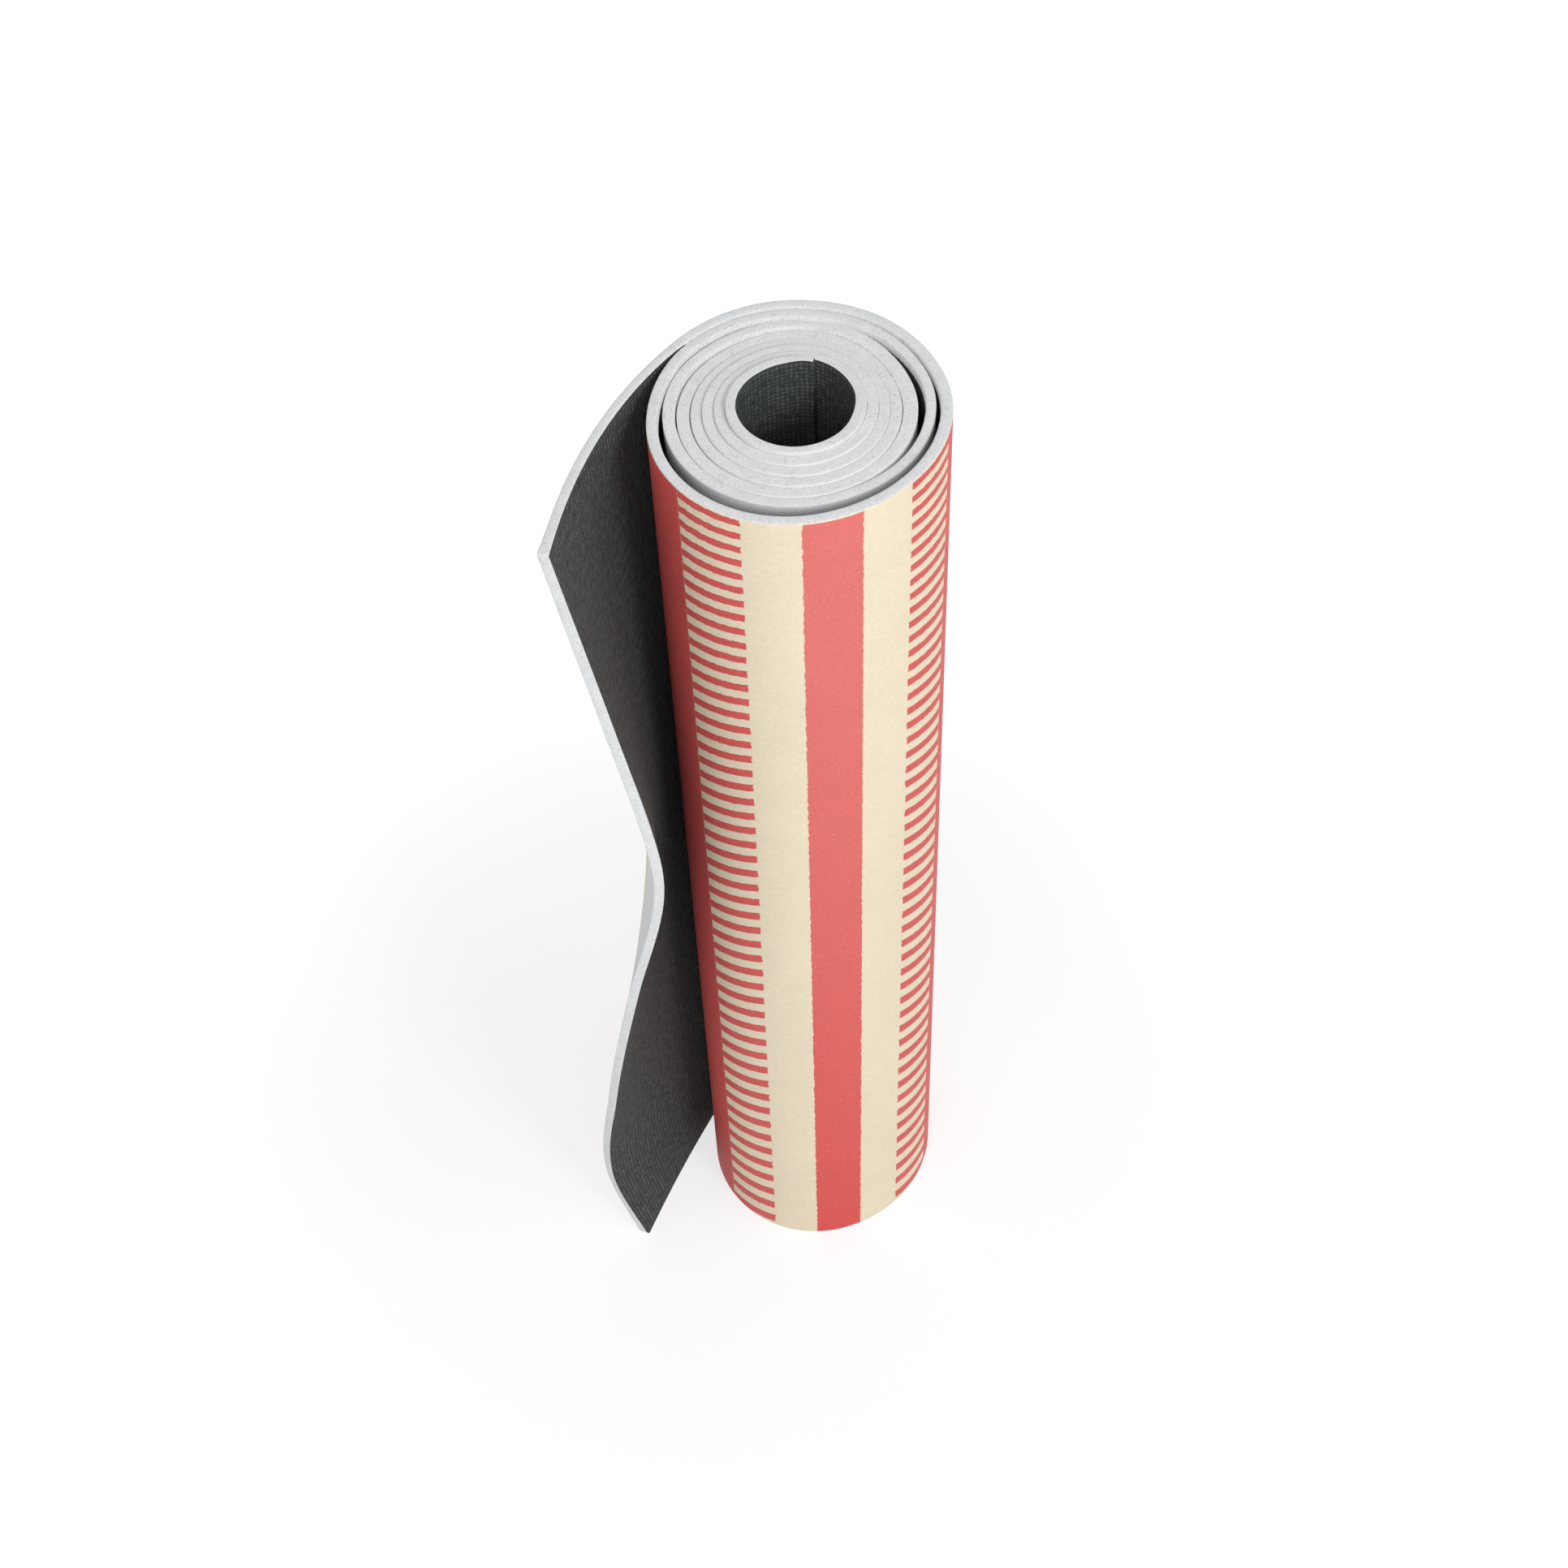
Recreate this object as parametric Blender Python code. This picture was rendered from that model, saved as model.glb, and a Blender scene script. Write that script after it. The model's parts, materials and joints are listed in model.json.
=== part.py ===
# A yoga mat stood on end as a loose roll, with the last stretch of the sheet swung free of the roll.
# The sheet is three bonded layers: a dark grip base that faces the middle of the roll, a pale foam
# core, and a printed face on the outside. It leaves the roll along one upright line, where the loose
# end peels away, and bends once more near its free edge.
# Metres and degrees. +Z is up, and the middle of the footprint stands on the origin.

import math

import bmesh
import bpy
from mathutils import Vector

# Layers of the sheet
MAT_WIDTH = 0.610
BASE_THICKNESS = 0.0007
CORE_THICKNESS = 0.0027
PRINT_THICKNESS = 0.0005
LAYER_GAP = 0.0003
SKIN_SETBACK = 0.0005
MAT_THICKNESS = BASE_THICKNESS + CORE_THICKNESS + PRINT_THICKNESS + 2 * LAYER_GAP
UNPRINTED_MARGIN = 0.017

# Wound turns, from the inner end outwards, counterclockwise seen from above
BORE_RADIUS = 0.0232
TURN_CLEARANCE = 0.0005
WOUND_TURNS = 7.19
INNER_END_AZIMUTH = 70

# Slack between the turns: extra room, the azimuth where it is widest, and how far it reaches each way
FRONT_SLACK_PER_TURN = 0.00145
FRONT_SLACK_AZIMUTH = 268
FRONT_SLACK_REACH = 118
BACK_SLACK = 0.0015
BACK_SLACK_PER_TURN = 0.00035
BACK_SLACK_AZIMUTH = 76
BACK_SLACK_REACH = 60
RIGHT_SLACK = 0.0042
RIGHT_SLACK_AZIMUTH = 5
RIGHT_SLACK_REACH = 85
RIGHT_SLACK_FIRST_TURN = 5.1
OUTER_RIGHT_SLACK = 0.0014
OUTER_RIGHT_SLACK_FIRST_TURN = 6.1
LEFT_SLACK = 0.0034
LEFT_SLACK_AZIMUTH = 232
LEFT_SLACK_REACH = 110
LEFT_SLACK_FIRST_TURN = 6.1
END_SLACK = 0.0026
END_SLACK_AZIMUTH = 131
END_SLACK_REACH = 60
END_SLACK_FIRST_TURN = 5.8

# Loose end, as lengths of sheet past the line where the top of the sheet leaves the roll
TOP_FREE_LENGTH = 0.1399
FOOT_FREE_LENGTH = 0.1268
FOOT_HELD_LENGTH = 0.0120
BEND_LENGTH = 0.0620
SEAM_GAP = 0.0004

# How far the loose end curls towards the roll, at these shares of the mat's width above the floor,
# and how much the curl leans towards the peel instead of being even
CURL_HEIGHT_SHARES = (0.0, 0.10, 0.26, 0.46, 0.59, 0.66, 0.82, 1.0)
CURL_ANGLES = (8, -7, 8, 32, 49, 51.5, 43.5, 33)
EARLY_CURL = 0.33
CURL_ARCS = 12

# Facets
FACETS_PER_TURN = 48
HEIGHT_FACETS = 22
NEAR_FACETS = 7
EDGE_FACETS = 9

RIM_ANGLE = 40
TINY_ANGLE = 1e-6
GREY_BASE = (0.030, 0.030, 0.033)
PALE_FOAM = (0.68, 0.70, 0.71)
CORAL_PRINT = (0.78, 0.11, 0.10)


def clear_scene():
    for thing in list(bpy.data.objects):
        bpy.data.objects.remove(thing, do_unlink=True)
    for group in list(bpy.data.collections):
        bpy.data.collections.remove(group)


def plain_material(name, colour, roughness):
    material = bpy.data.materials.new(name)
    material.use_nodes = True
    shader = material.node_tree.nodes["Principled BSDF"]
    shader.inputs["Base Color"].default_value = (*colour, 1)
    shader.inputs["Roughness"].default_value = roughness
    shader.inputs["Metallic"].default_value = 0
    return material


# The wound turns


def swell(azimuth, centre, reach):
    """A smooth bump that is 1 at its centre and 0 from its reach outwards."""
    offset = abs((azimuth - centre + 180) % 360 - 180)
    if offset >= reach:
        return 0
    return math.cos(math.pi * offset / (2 * reach)) ** 2


def wound_radius(turn):
    """Distance from the roll's axis to the sheet's inner face."""
    azimuth = INNER_END_AZIMUTH + 360 * turn
    radius = BORE_RADIUS + (MAT_THICKNESS + TURN_CLEARANCE) * turn
    radius += FRONT_SLACK_PER_TURN * turn * swell(azimuth, FRONT_SLACK_AZIMUTH, FRONT_SLACK_REACH)
    back_slack = BACK_SLACK + BACK_SLACK_PER_TURN * turn
    radius += back_slack * swell(azimuth, BACK_SLACK_AZIMUTH, BACK_SLACK_REACH)
    if turn > RIGHT_SLACK_FIRST_TURN:
        radius += RIGHT_SLACK * swell(azimuth, RIGHT_SLACK_AZIMUTH, RIGHT_SLACK_REACH)
    if turn > OUTER_RIGHT_SLACK_FIRST_TURN:
        radius += OUTER_RIGHT_SLACK * swell(azimuth, RIGHT_SLACK_AZIMUTH, RIGHT_SLACK_REACH)
    if turn > LEFT_SLACK_FIRST_TURN:
        radius += LEFT_SLACK * swell(azimuth, LEFT_SLACK_AZIMUTH, LEFT_SLACK_REACH)
    if turn > END_SLACK_FIRST_TURN:
        radius += END_SLACK * swell(azimuth, END_SLACK_AZIMUTH, END_SLACK_REACH)
    return radius


def wound_place(turn):
    """Where the inner face is after so many turns."""
    angle = math.radians(INNER_END_AZIMUTH + 360 * turn)
    return wound_radius(turn) * Vector((math.cos(angle), math.sin(angle)))


def wound_point(turn):
    """The inner face's place, and the heading of the sheet as it winds on."""
    step = 0.25 / FACETS_PER_TURN
    ahead = wound_place(turn + step) - wound_place(turn - step)
    return wound_place(turn), math.atan2(ahead.y, ahead.x)


# The loose end


def advance(place, heading, length, turned):
    """Follows an arc of this length that turns by this angle."""
    half = turned / 2
    chord = length if abs(half) < TINY_ANGLE else length * math.sin(half) / half
    middle = heading + half
    return place + chord * Vector((math.cos(middle), math.sin(middle))), heading + turned


def curl_at(share):
    """The loose end's curl at a share of the mat's width, from a smooth curve through the named ones."""
    last = len(CURL_HEIGHT_SHARES) - 2
    index = min(sum(share >= height for height in CURL_HEIGHT_SHARES[1:]), last)
    low, high = CURL_HEIGHT_SHARES[index : index + 2]
    slopes = []
    for knot in (index, index + 1):
        before, after = max(knot - 1, 0), min(knot + 1, last + 1)
        rise = CURL_ANGLES[after] - CURL_ANGLES[before]
        slopes.append(rise / (CURL_HEIGHT_SHARES[after] - CURL_HEIGHT_SHARES[before]) * (high - low))
    t = (share - low) / (high - low)
    start, end = CURL_ANGLES[index : index + 2]
    blend = t * t * (3 - 2 * t)
    return (
        start + (end - start) * blend
        + slopes[0] * t * (1 - t) ** 2
        - slopes[1] * t * t * (1 - t)
    )


def free_length(height):
    """Length of the loose end at a height, from the line of the peel to the free edge."""
    return FOOT_FREE_LENGTH + (TOP_FREE_LENGTH - FOOT_FREE_LENGTH) * height / MAT_WIDTH


def curled_share(reach):
    """How much of the curl is behind a point this far along the loose end."""
    return reach + EARLY_CURL * reach * (1 - reach)


def loose_point(length, height):
    """The inner face's place and heading on the loose end, so far past the line of the peel."""
    place, heading = wound_point(WOUND_TURNS)
    share = height / MAT_WIDTH
    held = FOOT_HELD_LENGTH * (1 - share)
    on_roll = min(length, held)
    place, heading = advance(place, heading, on_roll, on_roll / wound_radius(WOUND_TURNS))
    off_roll = length - on_roll
    reach = off_roll / (free_length(height) - held)
    curl = math.radians(curl_at(share))
    for arc in range(CURL_ARCS):
        start, end = (curled_share(reach * knot / CURL_ARCS) for knot in (arc, arc + 1))
        place, heading = advance(place, heading, off_roll / CURL_ARCS, curl * (end - start))
    return place, heading


def outward(place, heading, depth):
    """The point this deep into the sheet, from its inner face."""
    return place + depth * Vector((math.sin(heading), -math.cos(heading)))


class Layer:
    """One layer of the sheet: how deep it starts, how thick it is, and how far its rims are set back."""

    def __init__(self, depth, thickness, setback, margin, material):
        self.depth = depth
        self.thickness = thickness
        self.setback = setback
        self.margin = margin
        self.material = material


def sheet_layers():
    core_depth = BASE_THICKNESS + LAYER_GAP
    print_depth = core_depth + CORE_THICKNESS + LAYER_GAP
    base = plain_material("grip_base", GREY_BASE, 0.9)
    foam = plain_material("foam_core", PALE_FOAM, 0.85)
    coral = plain_material("printed_face", CORAL_PRINT, 0.7)
    return {
        "grip_base": Layer(0, BASE_THICKNESS, SKIN_SETBACK, 0, base),
        "foam_core": Layer(core_depth, CORE_THICKNESS, 0, 0, foam),
        "printed_face": Layer(print_depth, PRINT_THICKNESS, SKIN_SETBACK, UNPRINTED_MARGIN, coral),
    }


def laid_sheet(name, layer, columns, rows, lay, pivot):
    """A flat slab, one unit deep, laid on its place in the roll as one layer of the sheet."""
    form = bmesh.new()
    bmesh.ops.create_grid(form, x_segments=columns, y_segments=rows, size=1)
    bmesh.ops.solidify(form, geom=form.faces[:], thickness=1)
    for corner in form.verts:
        height = layer.setback + (MAT_WIDTH - 2 * layer.setback) * (corner.co.y + 1) / 2
        place, heading = lay((corner.co.x + 1) / 2, height)
        flat = outward(place, heading, layer.depth + layer.thickness * abs(corner.co.z))
        corner.co = Vector((flat.x, flat.y, height)) - pivot
    bmesh.ops.recalc_face_normals(form, faces=form.faces[:])
    mesh = bpy.data.meshes.new(name)
    form.to_mesh(mesh)
    form.free()
    mesh.materials.append(layer.material)
    mesh.shade_smooth()
    mesh.set_sharp_from_angle(angle=math.radians(RIM_ANGLE))
    return bpy.data.objects.new(name, mesh)


def wound_sheet(name, layer):
    def lay(share, height):
        return wound_point(WOUND_TURNS * share)

    columns = round(WOUND_TURNS * FACETS_PER_TURN)
    return laid_sheet(name, layer, columns, 1, lay, Vector())


def near_sheet(name, layer, pivot):
    def lay(share, height):
        return loose_point(SEAM_GAP + (BEND_LENGTH - SEAM_GAP) * share, height)

    return laid_sheet(name, layer, NEAR_FACETS, HEIGHT_FACETS, lay, pivot)


def edge_sheet(name, layer, pivot):
    def lay(share, height):
        start = BEND_LENGTH + SEAM_GAP
        return loose_point(start + (free_length(height) - layer.margin - start) * share, height)

    return laid_sheet(name, layer, EDGE_FACETS, HEIGHT_FACETS, lay, pivot)


# The axes of the two bends


def peel_axis():
    """The upright line on the printed side where the loose end peels outwards."""
    place, heading = wound_point(WOUND_TURNS)
    corner = outward(place, heading, MAT_THICKNESS)
    return Vector((corner.x, corner.y, 0))


def bend_axis():
    """The upright line on the inner side where the free edge bends towards the roll."""
    heights = [MAT_WIDTH * row / HEIGHT_FACETS for row in range(HEIGHT_FACETS + 1)]
    places = [loose_point(BEND_LENGTH, height)[0] for height in heights]
    nearest = min(places, key=lambda place: place.length)
    return Vector((nearest.x, nearest.y, 0))


# Measures that are printed


def segment_distance(point, start, end):
    along = end - start
    share = max(0, min(1, (point - start).dot(along) / along.length_squared))
    return (point - start - share * along).length


def least_turn_gap():
    """The least room between one turn's outer face and the next turn's inner face."""
    steps = round(WOUND_TURNS * FACETS_PER_TURN)
    turns = [WOUND_TURNS * step / steps for step in range(steps + 1)]
    inner = [wound_place(turn) for turn in turns]
    outer = [outward(*wound_point(turn), MAT_THICKNESS) for turn in turns]
    least = math.inf
    for index, point in enumerate(outer):
        for other in range(index + FACETS_PER_TURN // 2, steps):
            least = min(least, segment_distance(point, inner[other], inner[other + 1]))
    return least


def wound_length():
    steps = round(WOUND_TURNS * FACETS_PER_TURN)
    middles = [
        outward(*wound_point(WOUND_TURNS * step / steps), MAT_THICKNESS / 2)
        for step in range(steps + 1)
    ]
    return sum((after - before).length for before, after in zip(middles, middles[1:]))


# Assembly


def pivot_empty(name, place, parent, collection):
    pivot = bpy.data.objects.new(name, None)
    pivot.location = place
    pivot.parent = parent
    pivot.empty_display_size = MAT_THICKNESS
    collection.objects.link(pivot)
    return pivot


def add_to(collection, sheet, parent):
    sheet.parent = parent
    collection.objects.link(sheet)
    return sheet


def footprint_centre(sheets):
    bpy.context.view_layer.update()
    graph = bpy.context.evaluated_depsgraph_get()
    corners = [
        sheet.matrix_world @ Vector(corner)
        for sheet in sheets
        for corner in sheet.evaluated_get(graph).bound_box
    ]
    low = [min(corner[axis] for corner in corners) for axis in range(2)]
    high = [max(corner[axis] for corner in corners) for axis in range(2)]
    return Vector(((low[0] + high[0]) / 2, (low[1] + high[1]) / 2, 0))


def build():
    clear_scene()
    collection = bpy.data.collections.new("yoga_mat")
    bpy.context.scene.collection.children.link(collection)
    peel, bend = peel_axis(), bend_axis()
    roll = pivot_empty("roll_axis", Vector(), None, collection)
    loose = pivot_empty("peel_axis", peel, roll, collection)
    edge = pivot_empty("bend_axis", bend - peel, loose, collection)
    sheets = []
    for kind, layer in sheet_layers().items():
        sheets.append(add_to(collection, wound_sheet(f"wound_{kind}", layer), roll))
        sheets.append(add_to(collection, near_sheet(f"loose_{kind}", layer, peel), loose))
        sheets.append(add_to(collection, edge_sheet(f"edge_{kind}", layer, bend), edge))
    roll.location = -footprint_centre(sheets)
    bpy.context.view_layer.update()
    for pivot in (roll, loose, edge):
        print(pivot.name, "stands at", *(round(value, 5) for value in pivot.matrix_world.translation[:2]))
    print("least gap between turns", round(least_turn_gap() * 1000, 3), "mm")
    print("sheet length", round(wound_length() + TOP_FREE_LENGTH, 4), "m")


build()
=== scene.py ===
# A rolled exercise mat stood on end: the wound turns, and the loose end that stands free of them.
# Everything is in metres, in the same frame as the CAD.

import json
import math

import bpy
from mathutils import Matrix, Vector


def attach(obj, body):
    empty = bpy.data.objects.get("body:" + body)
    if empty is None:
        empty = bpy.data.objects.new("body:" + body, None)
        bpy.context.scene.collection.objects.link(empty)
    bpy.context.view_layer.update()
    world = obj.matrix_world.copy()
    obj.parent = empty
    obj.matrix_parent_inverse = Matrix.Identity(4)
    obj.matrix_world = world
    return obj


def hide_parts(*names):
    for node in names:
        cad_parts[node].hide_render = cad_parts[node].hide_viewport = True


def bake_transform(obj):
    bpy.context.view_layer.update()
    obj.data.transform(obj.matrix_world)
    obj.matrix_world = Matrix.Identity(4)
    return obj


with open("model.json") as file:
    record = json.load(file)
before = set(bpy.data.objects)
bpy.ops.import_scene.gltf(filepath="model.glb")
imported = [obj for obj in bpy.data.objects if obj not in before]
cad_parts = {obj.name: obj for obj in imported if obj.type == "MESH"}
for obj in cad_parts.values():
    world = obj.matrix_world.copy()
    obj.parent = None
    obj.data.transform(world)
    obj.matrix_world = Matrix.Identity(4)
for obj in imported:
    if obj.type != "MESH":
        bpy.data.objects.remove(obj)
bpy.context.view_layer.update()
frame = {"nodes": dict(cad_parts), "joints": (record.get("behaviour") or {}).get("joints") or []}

hinges = {joint["name"]: Vector(joint["pos_m"]) for joint in frame["joints"]}
print("frame loaded:", ", ".join(sorted(frame["nodes"])))


# Node helpers, for shaders and geometry alike


def addNode(tree, kind, **settings):
    node = tree.nodes.new(kind)
    for name, value in settings.items():
        setattr(node, name, value)
    return node


def feed(tree, socket, value):
    if isinstance(value, bpy.types.NodeSocket):
        tree.links.new(value, socket)
    elif value is not None:
        socket.default_value = value


def calc(tree, operation, *values, clamp=False):
    node = addNode(tree, "ShaderNodeMath", operation=operation, use_clamp=clamp)
    for socket, value in zip(node.inputs, values):
        feed(tree, socket, value)
    return node.outputs[0]


def multiply(tree, first, *others):
    for other in others:
        first = calc(tree, "MULTIPLY", first, other)
    return first


def scaleVector(tree, vector, scale):
    node = addNode(tree, "ShaderNodeVectorMath", operation="SCALE")
    feed(tree, node.inputs[0], vector)
    feed(tree, node.inputs["Scale"], scale)
    return node.outputs[0]


def combine(tree, x, y, z):
    node = addNode(tree, "ShaderNodeCombineXYZ")
    for socket, value in zip(node.inputs, (x, y, z)):
        feed(tree, socket, value)
    return node.outputs[0]


def separate(tree, vector):
    node = addNode(tree, "ShaderNodeSeparateXYZ")
    feed(tree, node.inputs[0], vector)
    return node.outputs


def noiseAt(tree, place, scale, detail=2.0, roughness=0.5):
    node = addNode(tree, "ShaderNodeTexNoise")
    feed(tree, node.inputs["Vector"], place)
    node.inputs["Scale"].default_value = scale
    node.inputs["Detail"].default_value = detail
    node.inputs["Roughness"].default_value = roughness
    return node.outputs[0]


def rampBetween(tree, value, low, high, start=0.0, end=1.0, smooth=False):
    kind = "SMOOTHSTEP" if smooth else "LINEAR"
    node = addNode(tree, "ShaderNodeMapRange", interpolation_type=kind)
    for socket, number in zip(node.inputs, (value, low, high, start, end)):
        feed(tree, socket, number)
    return node.outputs[0]


# The sheet: its size, and the rounded section that every stretch of it has

sheetSizes = {
    "width": 0.610,
    "thickness": 0.0045,
    "topFree": 0.1399,  # how far the loose end reaches past the line where it peels off
    "footFree": 0.1268,
    "rimRound": 0.0005,  # on the printed side
    "gripRound": 0.0008,  # on the grip side, where the rims are softer
    "rimSteps": 3,
    "rimCrown": 0.00012,  # how far the middle of a rim stands proud of its sides
    "crownHalf": 0.0008,
    "edgeRound": 0.0004,
    "edgeSteps": 3,
    "firstRow": 0.004,  # holds the shading of the faces flat up to the rim
    "rowSpacing": 0.0075,
    "gripDepthShare": 0.03,  # how far round the rims the grip and the print reach
    "printDepthShare": 0.97,
}


def halfSection(rows, corner, inset=0.0):
    # one side of the section from foot to top, as (depth, height) pairs
    reach = corner - inset
    centre = sheetSizes["thickness"] - corner
    steps = sheetSizes["rimSteps"]
    turns = [math.pi / 2 * step / steps for step in range(steps + 1)]
    foot = [(sheetSizes["thickness"] / 2 + sheetSizes["crownHalf"], inset)]
    for turn in turns:
        level = corner + sheetSizes["rimCrown"] - reach * math.cos(turn)
        foot.append((centre + reach * math.sin(turn), level))
    top = [(depth, sheetSizes["width"] - height) for depth, height in reversed(foot)]
    return foot + [(centre + reach, height) for height in rows] + top


def section(rows, inset=0.0):
    # the whole section: up the printed side, and down the grip side
    printed = halfSection(rows, sheetSizes["rimRound"], inset)
    grip = halfSection(rows, sheetSizes["gripRound"], inset)
    return printed + [(sheetSizes["thickness"] - depth, height) for depth, height in reversed(grip)]


# Finishes

printInk = {
    "cream": (0.850, 0.742, 0.552, 1),
    "wideRed": (0.700, 0.098, 0.090, 1),
    # the narrow red is painted lighter than the wide red: the same ink with painted sheen on it
    "narrowRedWithSheen": (0.757, 0.170, 0.153, 1),
    "narrowRedFootLessSheen": (0.718, 0.076, 0.066, 1),  # painted sheen: the narrow stripes are painted lighter at the top and a fuller red towards the foot, where less sheen is painted
    "sheenFadesBelow": 0.52,
    "bareFoam": (0.765, 0.782, 0.793, 1),
    "repeat": 0.199,  # the stripes repeat, mirrored about a narrow red one
    "firstCentre": -0.2574,  # along the sheet, from the line where the loose end peels off
    "lean": 0.0042,
    "narrowHalf": 0.0135,
    "creamEnd": 0.0395,
    "ladderEnd": 0.0725,
    "rungStart": 0.0010,  # rungs, down from the top rim: the pitch there, and its growth per rung
    "rungPitch": 0.0081,
    "rungGrowth": 0.000156,
    "rungShare": 0.49,
    "rungTilt": 1.44,  # they slope away from each narrow red stripe, most at half height
    "rungTiltFoot": 0.16,
    "ragged": 0.0024,  # how far the stripes' edges wander
    "raggedScale": 290,
    "edgeSoftness": 0.00022,
    "bareMargin": 0.024,  # the printed side is bare foam this close to the free edge
    "bareRims": 0.012,  # inner turns carry no ink this close to their rims
    "innerTurns": -0.4263,  # all before this place along the sheet
    "fringe": (0.0006, 0.0011),  # a faint bare fringe at the top rim
    "rungBlur": 0.02,
    "grainScale": 1400,
    "grainTone": (0.90, 1.08),
    "blotchScale": 330,
    "blotchTone": 0.035,
    "cloudScale": 38,
    "cloudTone": 0.02,
    "wornScale": 620,  # where the ink is worn thin
    "wornBetween": (0.62, 0.76),
    "wornShare": 0.30,
    "relief": 0.00014,
}
noiseRange = (0.3, 0.7)  # nearly all of a noise's values lie in this


def sheetPlace(tree):
    # place on the flat sheet in metres: along it, and up its width
    place = addNode(tree, "ShaderNodeUVMap", uv_map="sheet").outputs[0]
    parts = separate(tree, place)
    return place, parts[0], parts[1]


def newFinish(name, roughness, specular):
    material = bpy.data.materials.new(name)
    material.use_nodes = True
    tree = material.node_tree
    shader = tree.nodes["Principled BSDF"]
    shader.inputs["Roughness"].default_value = roughness
    shader.inputs["Specular IOR Level"].default_value = specular
    shader.inputs["Metallic"].default_value = 0
    return material, tree, shader


def mixColour(tree, share, first, second):
    node = addNode(tree, "ShaderNodeMix", data_type="RGBA")
    feed(tree, node.inputs[0], share)
    feed(tree, node.inputs[6], first)
    feed(tree, node.inputs[7], second)
    return node.outputs[2]


def addBump(tree, shader, height, distance, strength):
    bump = addNode(tree, "ShaderNodeBump")
    bump.inputs["Strength"].default_value = strength
    bump.inputs["Distance"].default_value = distance
    feed(tree, bump.inputs["Height"], height)
    feed(tree, shader.inputs["Normal"], bump.outputs[0])


def aroundHalf(tree, noise, reach):
    return multiply(tree, calc(tree, "SUBTRACT", noise, 0.5), reach)


def noiseTone(tree, noise, low, high):
    return rampBetween(tree, noise, *noiseRange, low, high)


def stripesAndLadders(tree, place, along, height):
    # the masks of the wide red, the narrow red and the bare foam
    ink = printInk
    width = sheetSizes["width"]
    soft = ink["edgeSoftness"]
    wobble = aroundHalf(tree, noiseAt(tree, place, ink["raggedScale"], 4, 0.6), ink["ragged"])
    below = calc(tree, "SUBTRACT", width, height)
    lean = multiply(tree, below, ink["lean"] / width)
    shifted = calc(tree, "ADD", calc(tree, "ADD", along, lean), ink["repeat"] / 2 - ink["firstCentre"])
    wrapped = calc(tree, "FLOORED_MODULO", shifted, ink["repeat"])
    fromCentre = calc(tree, "ABSOLUTE", calc(tree, "SUBTRACT", wrapped, ink["repeat"] / 2))
    fromCentre = calc(tree, "ADD", fromCentre, wobble)

    def inside(value, edge):
        return rampBetween(tree, value, edge - soft, edge + soft, 1.0, 0.0)

    ladderEnd = inside(fromCentre, ink["ladderEnd"])
    narrow = inside(fromCentre, ink["narrowHalf"])
    wide = calc(tree, "SUBTRACT", 1.0, ladderEnd)
    ladder = calc(tree, "SUBTRACT", ladderEnd, inside(fromCentre, ink["creamEnd"]))
    # the rungs' places are pitch * k + growth * k * k / 2, turned round for k
    pitch, growth = ink["rungPitch"], ink["rungGrowth"]
    share = calc(tree, "DIVIDE", below, width)
    tilt = multiply(tree, share, calc(tree, "SUBTRACT", 1.0, share), ink["rungTilt"])
    tilt = calc(tree, "MULTIPLY_ADD", share, ink["rungTiltFoot"], tilt)
    middle = (ink["creamEnd"] + ink["ladderEnd"]) / 2
    slope = multiply(tree, tilt, calc(tree, "SUBTRACT", middle, fromCentre))
    reach = calc(tree, "ADD", calc(tree, "SUBTRACT", below, ink["rungStart"]), wobble)
    reach = calc(tree, "MAXIMUM", calc(tree, "ADD", reach, slope), 0.0)
    root = calc(tree, "SQRT", calc(tree, "MULTIPLY_ADD", reach, 2 * growth, pitch * pitch))
    rung = calc(tree, "DIVIDE", calc(tree, "SUBTRACT", root, pitch), growth)
    part = calc(tree, "FLOORED_MODULO", rung, 1.0)
    blur, inkedTo = ink["rungBlur"], ink["rungShare"]
    starts = rampBetween(tree, part, 0.0, blur)
    ends = rampBetween(tree, part, inkedTo - blur, inkedTo + blur, 1.0, 0.0)
    onRung = multiply(tree, starts, ends, ladder)
    inked = rampBetween(tree, below, *ink["fringe"])
    red = multiply(tree, calc(tree, "MAXIMUM", wide, onRung), inked)
    narrow = multiply(tree, narrow, inked)
    # bare foam: the margin at the free edge, and near the rims of the inner turns
    free = rampBetween(tree, height, 0.0, width, sheetSizes["footFree"], sheetSizes["topFree"])
    marginStart = calc(tree, "SUBTRACT", free, ink["bareMargin"])
    margin = calc(tree, "GREATER_THAN", calc(tree, "ADD", along, wobble), marginStart)
    innerTurn = calc(tree, "LESS_THAN", along, ink["innerTurns"])
    nearRim = calc(tree, "MINIMUM", below, height)
    bareRim = multiply(tree, innerTurn, inside(nearRim, ink["bareRims"]))
    return red, narrow, calc(tree, "MAXIMUM", margin, bareRim)


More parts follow.
